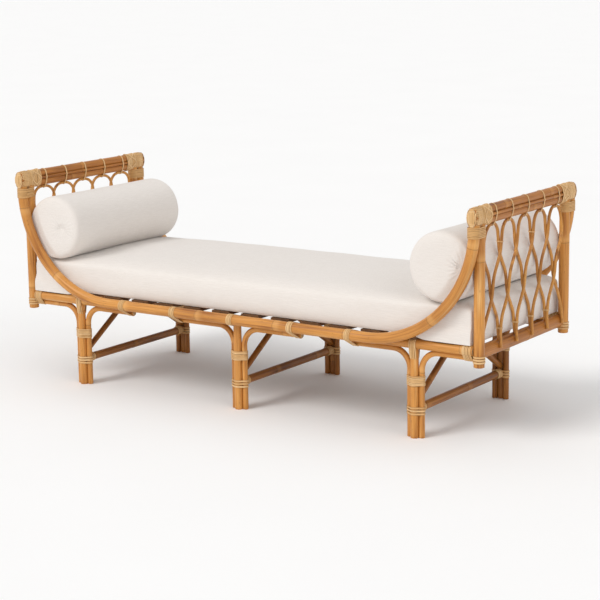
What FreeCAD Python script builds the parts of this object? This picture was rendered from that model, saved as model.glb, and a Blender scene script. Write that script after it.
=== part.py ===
import FreeCAD, Part
import math
import os
from FreeCAD import Vector

# Rattan daybed: bent and straight rattan poles bound with peel, a slatted seat,
# a loose mattress and two loose bolsters.
# Millimetres. X runs along the length, Y across the depth (front is -Y), Z is up.
# The origin is on the floor, in the middle of the footprint.

# ---------------------------------------------------------------- driving sizes
LENGTH = 1854.2            # over the wrapped corners
DEPTH = 685.8
HEIGHT = 749.3

BOW_D = 35.0               # the long side pole that sweeps up to both ends
POST_D = 34.0              # upright corner poles
SEAT_RAIL_D = 32.0
END_RAIL_D = 42.0
TOP_POLE_D = 29.0          # two of these stacked make each top rail
BEAD_D = 10.0              # strip in the groove between the stacked poles
LATTICE_D = 10.0
LEG_POLE_D = 27.0
BEND_D = 19.0              # thin pole either side of a leg, bent out under the seat
CROSS_RAIL_D = 28.0
STRETCHER_D = 27.0
BRACE_D = 20.0

BAND_T = 3.0               # peel binding on the rails and corners
LEG_BAND_T = 2.0           # peel binding on the legs
TIE_T = 1.5                # single-strand ties on the lattice

SEAT_RAIL_Z = 302.0        # centre line of the seat rails
BOW_Z = 310.0              # centre line of the bow's flat run
END_RAIL_RISE = 14.86      # end rail's centre above the bent poles that stop against it
END_RAIL_INSET = 12.0      # end rail's centre inboard of the post's centre
END_RAIL_COPE = 2.9        # end rail's ends run this far round the posts
POST_FOOT_Z = 253.0
COPE = 7.0                 # posts and bows rise this far round the lower top pole
LEG_INSET = 247.0          # end leg's centre from the end of the bed
BEND_BACK = 9.0            # bent pole's centre behind the leg pole's centre
BEND_RADIUS = 60.0
MIDDLE_BEND_REACH = 240.0  # from the middle leg to the binding near the bend's end
END_BEND_REACH = 220.0     # from an end leg to the binding near the bend's end
BEND_END_PAST = 14.0       # bent pole's cut end past the middle of its binding

STRETCHER_Z = 90.0
BRACE_FOOT_Z = 105.0       # where the brace's centre line meets the leg's
LEG_BAND_LOW = (74.0, 102.0)
LEG_BAND_HIGH = (168.0, 200.0)
RAIL_BAND_W = 22.0
CORNER_BAND_W = 32.0
CORNER_BAND_GAP = 0.5      # between the corner band and the strands round the post
STRAND_T = 2.0
STRAND_W = 6.5
STRAND_PITCH = 8.5
STRAND_START = 5.0         # strands begin this far inboard of the post's centre
STRAND_DROP = 12.0          # middle strand below the end rail's centre
KNUCKLE_W = 30.0
CAP_LENGTH = 104.0         # wrapped stretch at each end of a top rail
NECK_WRAP_H = 42.0         # wrap round a post and the bow's tip
NECK_BAND_T = 2.0
BOW_SLACK = 0.2            # in bindings round the bow where it leans

HAIRPINS = 5               # lattice rods in each end
APEX_RADIUS = 42.0
FIRST_CROSSING_DROP = 61.0
LAST_CROSSING_RISE = 38.0  # above the end rail
ROW_SLOPE = 0.154          # sideways per unit of fall where two rods cross
CROSSING_RADIUS = 110.0
BOUNCE_RADIUS = 60.0       # where a rod turns back beside a post
END_RADIUS = 30.0
ROD_GAP = 0.2
NEAR = 1.0                 # two places closer than this are the same
SPLAY = 12.0
TIE_W = 6.0
TIE_SLACK = 0.6            # a tie's loop round a slanting rod

SLAT_W = 70.0
SLAT_T = 12.0
SLAT_GAP = 24.0            # least gap between slats
SLAT_END_CLEAR = 2.5       # slat's end to the bow
NAIL_D = 3.0
NAIL_LENGTH = 34.0
NAIL_HEAD_D = 7.0
NAIL_HEAD_T = 1.2

MATTRESS_THICK = 112.0
MATTRESS_SIDE_CLEAR = 7.0  # to the bows
MATTRESS_END_CLEAR = 1.5   # to the top rail's wraps as it is lifted out
MATTRESS_LIFT = 1.5        # clear of the nail heads
MATTRESS_ROUND = 34.0
BOLSTER_D = 222.0
BOLSTER_LENGTH = 590.0
BOLSTER_ROUND = 42.0
BOLSTER_GAP = 1.0          # above the mattress
BOLSTER_END_CLEAR = 1.5    # to the top rail's wraps as it is lifted out
COVER_T = 2.0

# ---------------------------------------------------------------- derived places
BEAD_OFFSET = math.sqrt((TOP_POLE_D / 2 + BEAD_D / 2) ** 2 - (TOP_POLE_D / 2) ** 2)
END_X = LENGTH / 2 - BAND_T - BEAD_OFFSET - BEAD_D / 2
BOW_Y = DEPTH / 2 - BAND_T - BOW_D / 2
POST_Y = BOW_Y - (BOW_D + POST_D) / 2
RAIL_Y = BOW_Y - math.sqrt(((BOW_D + SEAT_RAIL_D) / 2) ** 2 - (BOW_Z - SEAT_RAIL_Z) ** 2)
BEND_Y = RAIL_Y - BEND_BACK
BEND_X = math.sqrt(((LEG_POLE_D + BEND_D) / 2) ** 2 - BEND_BACK ** 2)
BEND_Z = SEAT_RAIL_Z - math.sqrt(((SEAT_RAIL_D + BEND_D) / 2) ** 2 - BEND_BACK ** 2)
END_RAIL_Z = BEND_Z + END_RAIL_RISE
END_RAIL_HALF = POST_Y - POST_D / 2 + END_RAIL_COPE
TOP_UPPER_Z = HEIGHT - BAND_T - TOP_POLE_D / 2
TOP_LOWER_Z = TOP_UPPER_Z - TOP_POLE_D
GROOVE_Z = (TOP_UPPER_Z + TOP_LOWER_Z) / 2
POST_TOP_Z = TOP_LOWER_Z - TOP_POLE_D / 2
END_RAIL_X = END_X - END_RAIL_INSET
LEG_X = LENGTH / 2 - LEG_INSET
BOW_RADIUS = POST_TOP_Z - BOW_Z
BOW_FLAT_X = END_X - BOW_RADIUS
CORNER_BAND_X = END_X - POST_D / 2 - STRAND_T - CORNER_BAND_W / 2 - CORNER_BAND_GAP
SLAT_Z = SEAT_RAIL_Z + SEAT_RAIL_D / 2
MATTRESS_Z = SLAT_Z + SLAT_T + MATTRESS_LIFT
MATTRESS_X = END_X - BEAD_OFFSET - BEAD_D / 2 - BAND_T - MATTRESS_END_CLEAR
MATTRESS_Y = BOW_Y - BOW_D / 2 - MATTRESS_SIDE_CLEAR
BOLSTER_Z = MATTRESS_Z + MATTRESS_THICK + BOLSTER_GAP + BOLSTER_D / 2
BOLSTER_X = END_X - BEAD_OFFSET - BEAD_D / 2 - BAND_T - BOLSTER_END_CLEAR - BOLSTER_D / 2

ENDS = (("left", -1), ("right", 1))
SIDES = (("front", -1), ("rear", 1))
LEGS = (("left", -LEG_X), ("middle", 0.0), ("right", LEG_X))
BINDING_X = sorted(sign * x for sign in (-1, 1)
                   for x in (MIDDLE_BEND_REACH, LEG_X - END_BEND_REACH))

os.makedirs("parts", exist_ok=True)


# ---------------------------------------------------------------- shape helpers
def save(name, solids):
    """Write one node; several solids become one compound."""
    solids = solids if isinstance(solids, list) else [solids]
    shape = solids[0] if len(solids) == 1 else Part.makeCompound(solids)
    if not shape.isValid():
        raise ValueError(name + " is not valid")
    shape.exportStep(os.path.join("parts", name + ".step"))
    return solids


def pole(start, end, diameter):
    start, end = Vector(*start), Vector(*end)
    run = end - start
    return Part.makeCylinder(diameter / 2, run.Length, start, run)


def route(points, radii):
    """Straight runs joined by tangent arcs; radii holds one value for each inner point."""
    points = [Vector(*p) for p in points]
    edges = []
    last = points[0]
    for before, corner, after, radius in zip(points, points[1:], points[2:], radii):
        back = (before - corner).normalize()
        ahead = (after - corner).normalize()
        if (back + ahead).Length < 1e-3:
            continue
        half = back.getAngle(ahead) / 2
        setback = radius / math.tan(half)
        start = corner + back * setback
        end = corner + ahead * setback
        inward = (back + ahead).normalize()
        middle = corner + inward * (radius / math.sin(half) - radius)
        if (start - last).Length > 1e-6:
            edges.append(Part.makeLine(last, start))
        edges.append(Part.Arc(start, middle, end).toShape())
        last = end
    edges.append(Part.makeLine(last, points[-1]))
    return edges


def swept(points, radii, diameter):
    edges = route(points, radii)
    start = Vector(*points[0])
    ring = Part.makeCircle(diameter / 2, start, Vector(*points[1]) - start)
    shape = Part.Wire(edges).makePipeShell([Part.Wire([ring])], True, False)
    return shape.Solids[0]


def mirror(shape, normal):
    return shape.mirror(Vector(0, 0, 0), Vector(*normal))


def tangent_angle(disc_a, disc_b):
    """Direction of the outward normal of the hull's straight run from one disc to the next."""
    (ua, va, ra), (ub, vb, rb) = disc_a, disc_b
    gap = math.hypot(ub - ua, vb - va)
    return math.atan2(vb - va, ub - ua) - math.acos((ra - rb) / gap)


def disc_hull(discs):
    """The arcs of the convex hull of discs, anticlockwise, as (disc, start angle, end angle)."""
    first = min(range(len(discs)), key=lambda i: discs[i][1] - discs[i][2])
    angle = -math.pi / 2
    total = 0.0
    current = first
    arcs = []
    while True:
        turns = [((tangent_angle(discs[current], discs[k]) - angle) % (2 * math.pi), k)
                 for k in range(len(discs)) if k != current]
        turn, following = min(turns)
        if total + turn >= 2 * math.pi - 1e-9:
            arcs.append((discs[current], angle, angle + 2 * math.pi - total))
            return arcs
        arcs.append((discs[current], angle, angle + turn))
        angle += turn
        total += turn
        current = following


def hull_prism(discs, grow, axis, low, width):
    """The hull of discs, grown outward and drawn out along one axis."""
    place = {"X": lambda u, v: Vector(low, u, v),
             "Y": lambda u, v: Vector(u, low, v),
             "Z": lambda u, v: Vector(u, v, low)}[axis]
    grown = [(u, v, r + grow) for u, v, r in discs]
    run = {"X": Vector(width, 0, 0), "Y": Vector(0, width, 0), "Z": Vector(0, 0, width)}[axis]
    if len(grown) == 1:
        u, v, r = grown[0]
        return Part.makeCylinder(r, width, place(u, v), run)
    edges = []
    last = None
    first = None
    for (u, v, r), start, end in disc_hull(grown):
        if end - start < 1e-6:
            continue
        at = [place(u + r * math.cos(a), v + r * math.sin(a))
              for a in (start, (start + end) / 2, end)]
        if last is not None and (at[0] - last).Length > 1e-6:
            edges.append(Part.makeLine(last, at[0]))
        edges.append(Part.Arc(*at).toShape())
        first = first or at[0]
        last = at[2]
    if (first - last).Length > 1e-6:
        edges.append(Part.makeLine(last, first))
    return Part.Face(Part.Wire(edges)).extrude(run)


def band(discs, thickness, axis, middle, width):
    """A binding drawn tight round the discs."""
    low = middle - width / 2
    outer = hull_prism(discs, thickness, axis, low, width)
    return outer.cut(hull_prism(discs, 0, axis, low, width))


def strands(discs, thickness, axis, middle, count):
    first = middle - (count - 1) / 2 * STRAND_PITCH
    return [band(discs, thickness, axis, first + k * STRAND_PITCH, STRAND_W) for k in range(count)]


def cut_all(shape, tools):
    for tool in tools:
        shape = shape.cut(tool)
    return sorted(shape.Solids, key=lambda solid: solid.Volume)[-1]


def cut_each(solids, tools):
    """Cut tools out of several solids, keeping every remaining solid."""
    kept = []
    for solid in solids:
        for tool in tools:
            if solid.BoundBox.intersect(tool.BoundBox):
                solid = solid.cut(tool)
        kept += solid.Solids
    return kept


def rounded_block(x, y, low, high, radius):
    block = Part.makeBox(2 * x, 2 * y, high - low, Vector(-x, -y, low))
    return block.makeFillet(radius, block.Edges)


# ---------------------------------------------------------------- side frames
def bow_height(x):
    past = max(0.0, abs(x) - BOW_FLAT_X)
    return BOW_Z + BOW_RADIUS - math.sqrt(BOW_RADIUS ** 2 - past ** 2)


def bow(side):
    """Flat under the seat's edge, then a quarter circle up to each top corner."""
    turn = math.sqrt(0.5) * BOW_RADIUS
    outline = [(-END_X, POST_TOP_Z), (-BOW_FLAT_X - turn, POST_TOP_Z - turn), (-BOW_FLAT_X, BOW_Z),
               (BOW_FLAT_X, BOW_Z), (BOW_FLAT_X + turn, POST_TOP_Z - turn), (END_X, POST_TOP_Z)]
    at = [Vector(x, side * BOW_Y, z) for x, z in outline]
    tips = [point + Vector(0, 0, COPE) for point in (at[0], at[-1])]
    edges = [Part.makeLine(tips[0], at[0]), Part.Arc(*at[:3]).toShape(), Part.makeLine(at[2], at[3]),
             Part.Arc(*at[3:]).toShape(), Part.makeLine(at[-1], tips[1])]
    ring = Part.makeCircle(BOW_D / 2, tips[0], Vector(0, 0, -1))
    return Part.Wire(edges).makePipeShell([Part.Wire([ring])], True, False).Solids[0]


def seat_rail(side):
    post = POST_D / 2
    return pole((-END_X + post, side * RAIL_Y, SEAT_RAIL_Z),
                (END_X - post, side * RAIL_Y, SEAT_RAIL_Z), SEAT_RAIL_D)


def seat_rail_end(e, side):
    """The block that a seat rail's end takes up beside the end rail."""
    inner = RAIL_Y - SEAT_RAIL_D / 2
    outer = DEPTH / 2
    stop = END_X - POST_D / 2
    corner = Vector(min(e * stop, e * BOW_FLAT_X), min(side * inner, side * outer), 0)
    return Part.makeBox(stop - BOW_FLAT_X, outer - inner, HEIGHT, corner)


def bends(side, leg_x, reaches):
    """The thin poles beside a leg: up from the floor, then out under the seat rail."""
    made = []
    for way, end_x in reaches:
        x = leg_x + way * BEND_X
        points = [(x, side * BEND_Y, 0), (x, side * BEND_Y, BEND_Z), (end_x, side * BEND_Y, BEND_Z)]
        made.append(swept(points, [BEND_RADIUS], BEND_D))
    return made


top_poles = {}
for end, e in ENDS:
    reach = DEPTH / 2 - BAND_T
    for level, z in (("upper", TOP_UPPER_Z), ("lower", TOP_LOWER_Z)):
        top_poles[end, level] = pole((e * END_X, -reach, z), (e * END_X, reach, z), TOP_POLE_D)

bows = {name: cut_all(bow(side), [top_poles[end, "lower"] for end, _ in ENDS]) for name, side in SIDES}
rails = {name: seat_rail(side) for name, side in SIDES}
posts = {}
for end, e in ENDS:
    for name, side in SIDES:
        foot = (e * END_X, side * POST_Y, POST_FOOT_Z)
        top = (e * END_X, side * POST_Y, POST_TOP_Z + COPE)
        posts[end, name] = cut_all(pole(foot, top, POST_D), [top_poles[end, "lower"]])
rails = {name: cut_all(rail, [posts[end, name] for end, _ in ENDS]) for name, rail in rails.items()}

BEND_STOP = END_RAIL_X - END_RAIL_D / 2
BEND_ENDS = {
    "left": ((-1, -BEND_STOP), (1, -LEG_X + END_BEND_REACH + BEND_END_PAST)),
    "middle": ((-1, -MIDDLE_BEND_REACH - BEND_END_PAST), (1, MIDDLE_BEND_REACH + BEND_END_PAST)),
    "right": ((-1, LEG_X - END_BEND_REACH - BEND_END_PAST), (1, BEND_STOP)),
}
leg_poles = {}
leg_bends = {}
for side_name, side in SIDES:
    for leg, leg_x in LEGS:
        upright = pole((leg_x, side * RAIL_Y, 0), (leg_x, side * RAIL_Y, SEAT_RAIL_Z), LEG_POLE_D)
        leg_poles[side_name, leg] = cut_all(upright, [rails[side_name]])
        leg_bends[side_name, leg] = bends(side, leg_x, BEND_ENDS[leg])

# ---------------------------------------------------------------- end frames
end_rails = {}
beads = []
for end, e in ENDS:
    tips = [Vector(e * END_RAIL_X, way * END_RAIL_HALF, END_RAIL_Z) for way in (-1, 1)]
    rail = pole(*tips, END_RAIL_D)
    seats = [seat_rail_end(e, side) for _, side in SIDES]
    end_rails[end] = cut_all(rail, [posts[end, name] for name, _ in SIDES] + seats)
    beads += [pole((e * END_X + way * BEAD_OFFSET, -reach, GROOVE_Z),
                   (e * END_X + way * BEAD_OFFSET, reach, GROOVE_Z), BEAD_D) for way in (-1, 1)]

# The lattice: hairpin rods that run out sideways as they fall, cross their
# neighbours in three rows and turn back where they meet a post.
LATTICE_EDGE = POST_Y - POST_D / 2 - LATTICE_D / 2 - ROD_GAP
PITCH = 2 * LATTICE_EDGE / HAIRPINS
LAYER = (LATTICE_D + ROD_GAP) / 2
APEX_Z = POST_TOP_Z - LATTICE_D / 2
ROW_1 = APEX_Z - FIRST_CROSSING_DROP
ROW_3 = END_RAIL_Z + END_RAIL_D / 2 + LAST_CROSSING_RISE
ROW_STEP = (ROW_1 - ROW_3) / 2
STEEP_FALL = ROW_STEP / 4


def rod_leg(apex_y, way):
    """Corners of one leg as (way, y, z, radius), from the apex down, before it meets a post."""
    half = PITCH / 2
    steep = ROW_SLOPE * STEEP_FALL
    corners = [(half - ROW_SLOPE * FIRST_CROSSING_DROP, APEX_Z, APEX_RADIUS)]
    for row in range(3):
        out = half * (row + 1)
        z = ROW_1 - row * ROW_STEP
        if row > 0:
            corners.append((out - steep, z + STEEP_FALL, CROSSING_RADIUS))
        meets_post = abs(apex_y + way * out) > LATTICE_EDGE - NEAR
        if meets_post:
            corners.append((out, z, BOUNCE_RADIUS))
        if row < 2:
            corners.append((out + steep, z - STEEP_FALL, CROSSING_RADIUS))
    return [(way, apex_y + way * out, z, radius) for out, z, radius in corners]


def fold(leg):
    """Turn a leg back at the posts, swapping to the other layer as it turns."""
    folded = []
    for way, y, z, radius in leg:
        layer = -way * LAYER
        if abs(abs(y) - LATTICE_EDGE) < NEAR:
            layer = 0.0
        elif abs(y) > LATTICE_EDGE:
            y = math.copysign(2 * LATTICE_EDGE - abs(y), y)
            layer = way * LAYER
        folded.append((layer, y, z, radius))
    return folded


def rod_tip(leg, way):
    """The last run: an outer leg lies over the end rail's face, an inner one stands on top."""
    layer, y, z, _ = leg[-1]
    if layer == 0.0:
        way, layer = -way, way * LAYER
    turn_z = ROW_3 - STEEP_FALL / 2
    drift = ROW_SLOPE * (z - turn_z)
    heading = -1 if layer > 0 else 1
    knee = (layer, y + heading * drift, turn_z, END_RADIUS)
    if layer > 0:
        face = END_RAIL_X + END_RAIL_D / 2 + LATTICE_D / 2 + ROD_GAP - END_X
        return [knee], (face, knee[1] + heading * SPLAY, END_RAIL_Z)
    return [knee], (layer, knee[1] + heading * SPLAY / 2, END_RAIL_Z + END_RAIL_D / 4)


def lattice_rod(apex_y):
    path = []
    for way in (-1, 1):
        leg = fold(rod_leg(apex_y, way))
        knee, tip = rod_tip(leg, way)
        leg = leg + knee
        path = ([(tip, None)] + [(corner[:3], corner[3]) for corner in reversed(leg)] if way < 0 else
                path + [(corner[:3], corner[3]) for corner in leg] + [(tip, None)])
    points = [(END_X + point[0], point[1], point[2]) for point, _ in path]
    radii = [radius for _, radius in path[1:-1]]
    return swept(points, radii, LATTICE_D)


apex_places = [(k - (HAIRPINS - 1) / 2) * PITCH for k in range(HAIRPINS)]
lattice = {}
for k, apex_y in enumerate(apex_places):
    rod = cut_all(lattice_rod(apex_y), [end_rails["right"]])
    lattice["right", k + 1] = rod
    lattice["left", k + 1] = mirror(rod, (1, 0, 0))

# ---------------------------------------------------------------- under the seat
cross_rails = {}
stretchers = {}
braces = {}
for leg, leg_x in LEGS:
    rail = pole((leg_x, -RAIL_Y, SEAT_RAIL_Z), (leg_x, RAIL_Y, SEAT_RAIL_Z), CROSS_RAIL_D)
    legs = [leg_poles[name, leg] for name, _ in SIDES]
    side_poles = [bend for name, _ in SIDES for bend in leg_bends[name, leg]]
    cross_rails[leg] = cut_all(rail, list(rails.values()) + legs)
    stretcher = pole((leg_x, -RAIL_Y, STRETCHER_Z), (leg_x, RAIL_Y, STRETCHER_Z), STRETCHER_D)
    stretchers[leg] = cut_all(stretcher, legs + side_poles)
    pair = []
    for name, side in SIDES:
        foot = (leg_x, side * RAIL_Y, BRACE_FOOT_Z)
        brace = pole(foot, (leg_x, -side * BRACE_D, SEAT_RAIL_Z), BRACE_D)
        low = (leg_x - BRACE_D, 0 if side < 0 else -DEPTH, 0)
        other_half = Part.makeBox(2 * BRACE_D, DEPTH, HEIGHT, Vector(*low))
        pair.append(cut_all(brace, [other_half, cross_rails[leg], stretchers[leg]] + legs + side_poles))
    braces[leg] = pair

# ---------------------------------------------------------------- seat slats
def slat_places():
    stops = sorted(BINDING_X + [0.0, -CORNER_BAND_X + CORNER_BAND_W / 2, CORNER_BAND_X - CORNER_BAND_W / 2])
    places = []
    for low, high in zip(stops, stops[1:]):
        bay = high - low - RAIL_BAND_W
        count = int(bay // (SLAT_W + SLAT_GAP))
        places += [low + (high - low) * (k + 0.5) / count for k in range(count)]
    return places


def nail(x, side):
    y = side * RAIL_Y
    top = SLAT_Z + SLAT_T
    shank = Part.makeCylinder(NAIL_D / 2, NAIL_LENGTH, Vector(x, y, top - NAIL_LENGTH))
    head = Part.makeCylinder(NAIL_HEAD_D / 2, NAIL_HEAD_T, Vector(x, y, top))
    return shank.fuse(head).removeSplitter()


slat_half = BOW_Y - BOW_D / 2 - SLAT_END_CLEAR
slats = []
nails = []
for x in slat_places():
    pair = [nail(x, side).Solids[0] for _, side in SIDES]
    block = Part.makeBox(SLAT_W, 2 * slat_half, SLAT_T, Vector(x - SLAT_W / 2, -slat_half, SLAT_Z))
    slats.append(cut_all(block, pair))
    nails += pair
rails = {name: cut_all(rail, [n for n in nails if n.BoundBox.Center.y * side > 0])
         for (name, rail), (_, side) in zip(rails.items(), SIDES)}

# ---------------------------------------------------------------- peel bindings
def corner_openings(e, side):
    """Blocks that clear the strands where the seat rail and the end rail meet the post."""
    low_x = -END_X if e < 0 else 0.0
    seat = Part.makeBox(END_X, DEPTH, HEIGHT, Vector(low_x, -DEPTH / 2, 0))
    seat.translate(Vector(STRAND_START if e < 0 else -STRAND_START, 0, 0))
    low_x = -LENGTH / 2 if e < 0 else 0.0
    between = Part.makeBox(LENGTH / 2, 2 * END_RAIL_HALF, HEIGHT, Vector(low_x, -END_RAIL_HALF, 0))
    return [seat, between]


leg_bindings = []
stretcher_wraps = []
rail_bindings = []
lower_corner_wraps = []
top_corner_wraps = []
ties = []
for side_name, side in SIDES:
    bow_disc = (side * BOW_Y, BOW_Z, BOW_D / 2)
    rail_disc = (side * RAIL_Y, SEAT_RAIL_Z, SEAT_RAIL_D / 2)
    bend_disc = (side * BEND_Y, BEND_Z, BEND_D / 2)
    for leg, leg_x in LEGS:
        discs = [(leg_x, side * RAIL_Y, LEG_POLE_D / 2)]
        discs += [(leg_x + way * BEND_X, side * BEND_Y, BEND_D / 2) for way in (-1, 1)]
        low, high = LEG_BAND_HIGH
        leg_bindings += cut_each([band(discs, LEG_BAND_T, "Z", (low + high) / 2, high - low)], braces[leg])
        low, high = LEG_BAND_LOW
        made = strands(discs, LEG_BAND_T, "Z", (low + high) / 2, 3)
        leg_bindings += cut_each(made, [stretchers[leg]] + braces[leg])
        middle = side * (BEND_Y - BEND_D / 2 - LEG_BAND_T - KNUCKLE_W / 2)
        knuckle = band([(leg_x, STRETCHER_Z, STRETCHER_D / 2)], BAND_T, "Y", middle, KNUCKLE_W)
        stretcher_wraps += cut_each([knuckle], braces[leg])
    for x in BINDING_X:
        heights = {bow_height(x + way * RAIL_BAND_W / 2) for way in (-1, 1)}
        slack = BOW_SLACK if len(heights) > 1 else 0.0
        discs = [(side * BOW_Y, height, BOW_D / 2 + slack) for height in sorted(heights)]
        rail_bindings.append(band(discs + [rail_disc, bend_disc], BAND_T, "X", x, RAIL_BAND_W))
    made = band([bow_disc, rail_disc], BAND_T, "X", 0.0, RAIL_BAND_W)
    rail_bindings += cut_each([made], [cross_rails["middle"], leg_poles[side_name, "middle"]])
    for end, e in ENDS:
        made = band([rail_disc, bend_disc], BAND_T, "X", e * CORNER_BAND_X, CORNER_BAND_W)
        lower_corner_wraps += cut_each([made], [end_rails[end]])
        post_disc = (e * END_X, side * POST_Y, POST_D / 2)
        made = strands([post_disc], STRAND_T, "Z", END_RAIL_Z - STRAND_DROP, 3)
        lower_corner_wraps += cut_each(made, corner_openings(e, side))
        top = POST_TOP_Z - BAND_T
        lean = BOW_RADIUS - math.sqrt(BOW_RADIUS ** 2 - (NECK_WRAP_H + BAND_T) ** 2)
        neck = [(e * (END_X - shift), side * BOW_Y, BOW_D / 2 + BOW_SLACK) for shift in (0, lean)]
        neck_z = top - NECK_WRAP_H / 2
        top_corner_wraps.append(band([post_disc] + neck, NECK_BAND_T, "Z", neck_z, NECK_WRAP_H))

for end, e in ENDS:
    stack = [(e * END_X, TOP_UPPER_Z, TOP_POLE_D / 2), (e * END_X, TOP_LOWER_Z, TOP_POLE_D / 2)]
    stack += [(e * END_X + way * BEAD_OFFSET, GROOVE_Z, BEAD_D / 2) for way in (-1, 1)]
    rods = [lattice[end, k + 1] for k in range(HAIRPINS)]
    for _, side in SIDES:
        far = side * DEPTH / 2
        middle = far - side * CAP_LENGTH / 2
        cap = hull_prism(stack, BAND_T, "Y", middle - CAP_LENGTH / 2, CAP_LENGTH)
        inside = middle - side * BAND_T
        cap = cap.cut(hull_prism(stack, 0, "Y", inside - CAP_LENGTH / 2, CAP_LENGTH))
        inner = POST_Y - POST_D / 2
        outer = BOW_Y + BOW_D / 2
        seat = Part.makeBox(POST_D + BOW_D, outer - inner, 2 * BAND_T + COPE,
                            Vector(e * END_X - (POST_D + BOW_D) / 2, min(side * inner, side * outer),
                                   POST_TOP_Z - 2 * BAND_T))
        top_corner_wraps += cut_each([cap], [seat])
    for apex_y in apex_places:
        discs = stack + [(e * END_X, APEX_Z, LATTICE_D / 2 + TIE_SLACK)]
        ties.append(band(discs, TIE_T, "Y", apex_y, TIE_W))
    for k in range(HAIRPINS - 1):
        y = (apex_places[k] + apex_places[k + 1]) / 2
        discs = [(e * END_X + way * LAYER, y, LATTICE_D / 2 + TIE_SLACK) for way in (-1, 1)]
        ties += cut_each([band(discs, TIE_T, "Z", ROW_3, TIE_W)], rods)

# ---------------------------------------------------------------- soft goods
def mattress():
    low, high = MATTRESS_Z, MATTRESS_Z + MATTRESS_THICK
    outer = rounded_block(MATTRESS_X, MATTRESS_Y, low, high, MATTRESS_ROUND)
    inner = rounded_block(MATTRESS_X - COVER_T, MATTRESS_Y - COVER_T, low + COVER_T, high - COVER_T,
                          MATTRESS_ROUND - COVER_T)
    return outer.cut(inner), inner


def bolster(e):
    def roll(shrink):
        length = BOLSTER_LENGTH - 2 * shrink
        start = Vector(e * BOLSTER_X, -length / 2, BOLSTER_Z)
        body = Part.makeCylinder(BOLSTER_D / 2 - shrink, length, start, Vector(0, 1, 0))
        rims = [edge for edge in body.Edges if edge.isClosed() and edge.BoundBox.YLength < 1]
        return body.makeFillet(BOLSTER_ROUND - shrink, rims)
    return roll(0).cut(roll(COVER_T)), roll(COVER_T)


# ---------------------------------------------------------------- nodes
nodes = {}
for name, _ in SIDES:
    nodes[name + "_bow"] = bows[name]
    nodes[name + "_seat_rail"] = rails[name]
for end, _ in ENDS:
    nodes[end + "_end_rail"] = end_rails[end]
    for level in ("upper", "lower"):
        nodes[end + "_top_rail_" + level] = top_poles[end, level]
    for k in range(HAIRPINS):
        nodes["%s_lattice_rod_%d" % (end, k + 1)] = lattice[end, k + 1]
    for name, _ in SIDES:
        nodes["%s_%s_post" % (name, end)] = posts[end, name]
for leg, _ in LEGS:
    nodes[leg + "_cross_rail"] = cross_rails[leg]
    nodes[leg + "_stretcher"] = stretchers[leg]
    nodes[leg + "_braces"] = braces[leg]
    for name, _ in SIDES:
        nodes["%s_%s_leg_pole" % (name, leg)] = leg_poles[name, leg]
        nodes["%s_%s_leg_bends" % (name, leg)] = leg_bends[name, leg]
nodes["top_rail_beads"] = beads
nodes["seat_slats"] = slats
nodes["slat_nails"] = nails
nodes["leg_bindings"] = leg_bindings
nodes["stretcher_wraps"] = stretcher_wraps
nodes["rail_bindings"] = rail_bindings
nodes["lower_corner_wraps"] = lower_corner_wraps
nodes["top_corner_wraps"] = top_corner_wraps
nodes["lattice_ties"] = ties
nodes["mattress_cover"], nodes["mattress_foam"] = mattress()
for end, e in ENDS:
    nodes[end + "_bolster_cover"], nodes[end + "_bolster_fill"] = bolster(e)

for name, solids in nodes.items():
    save(name, solids)
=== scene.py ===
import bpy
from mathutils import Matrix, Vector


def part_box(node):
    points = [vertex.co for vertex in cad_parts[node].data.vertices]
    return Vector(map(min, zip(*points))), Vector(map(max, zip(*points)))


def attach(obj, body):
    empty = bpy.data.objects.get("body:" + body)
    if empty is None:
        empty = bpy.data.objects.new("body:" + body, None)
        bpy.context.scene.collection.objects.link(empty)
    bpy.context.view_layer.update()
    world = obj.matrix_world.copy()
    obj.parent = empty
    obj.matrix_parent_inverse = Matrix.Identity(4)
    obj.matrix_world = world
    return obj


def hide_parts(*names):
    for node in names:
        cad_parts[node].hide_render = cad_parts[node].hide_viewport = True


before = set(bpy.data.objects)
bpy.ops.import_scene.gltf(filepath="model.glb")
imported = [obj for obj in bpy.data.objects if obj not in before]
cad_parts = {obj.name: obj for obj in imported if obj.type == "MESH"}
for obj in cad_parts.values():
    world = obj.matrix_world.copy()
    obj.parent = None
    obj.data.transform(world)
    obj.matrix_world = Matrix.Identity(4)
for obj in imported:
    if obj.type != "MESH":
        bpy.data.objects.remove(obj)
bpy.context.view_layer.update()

import math
import random

import bmesh
import bpy
from mathutils import Matrix, Vector, noise

# A rattan daybed. Metres; X along the length, Y across the depth (front is -Y), Z up.
# The poles, bindings and cushions are built here on the places that the frame gives.

# ------------------ places read from the frame
ENDS = (("left", -1), ("right", 1))
SIDES = (("front", -1), ("rear", 1))


def middle(node):
    low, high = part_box(node)
    return (low + high) / 2


def radius(node, axis):
    low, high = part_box(node)
    return (high[axis] - low[axis]) / 2


POST = middle("front_right_post")
POST_R = radius("front_right_post", 0)
BOW_LOW, BOW_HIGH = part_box("front_bow")
BOW_R = (BOW_HIGH.y - BOW_LOW.y) / 2
BOW_Y = -(BOW_LOW.y + BOW_HIGH.y) / 2
BOW_Z = BOW_LOW.z + BOW_R
END_X = BOW_HIGH.x - BOW_R
RAIL = middle("front_seat_rail")
RAIL_Y, RAIL_Z, RAIL_R = -RAIL.y, RAIL.z, radius("front_seat_rail", 1)
END_RAIL = middle("right_end_rail")
END_RAIL_R = radius("right_end_rail", 2)
UPPER = middle("right_top_rail_upper")
LOWER = middle("right_top_rail_lower")
TOP_R = radius("right_top_rail_upper", 2)
POST_TOP = LOWER.z - TOP_R
BEAD_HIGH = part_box("top_rail_beads")[1]
GROOVE_Z = (UPPER.z + LOWER.z) / 2
BEAD_R = BEAD_HIGH.z - GROOVE_Z
BEAD_OFFSET = BEAD_HIGH.x - BEAD_R - END_X
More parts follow.
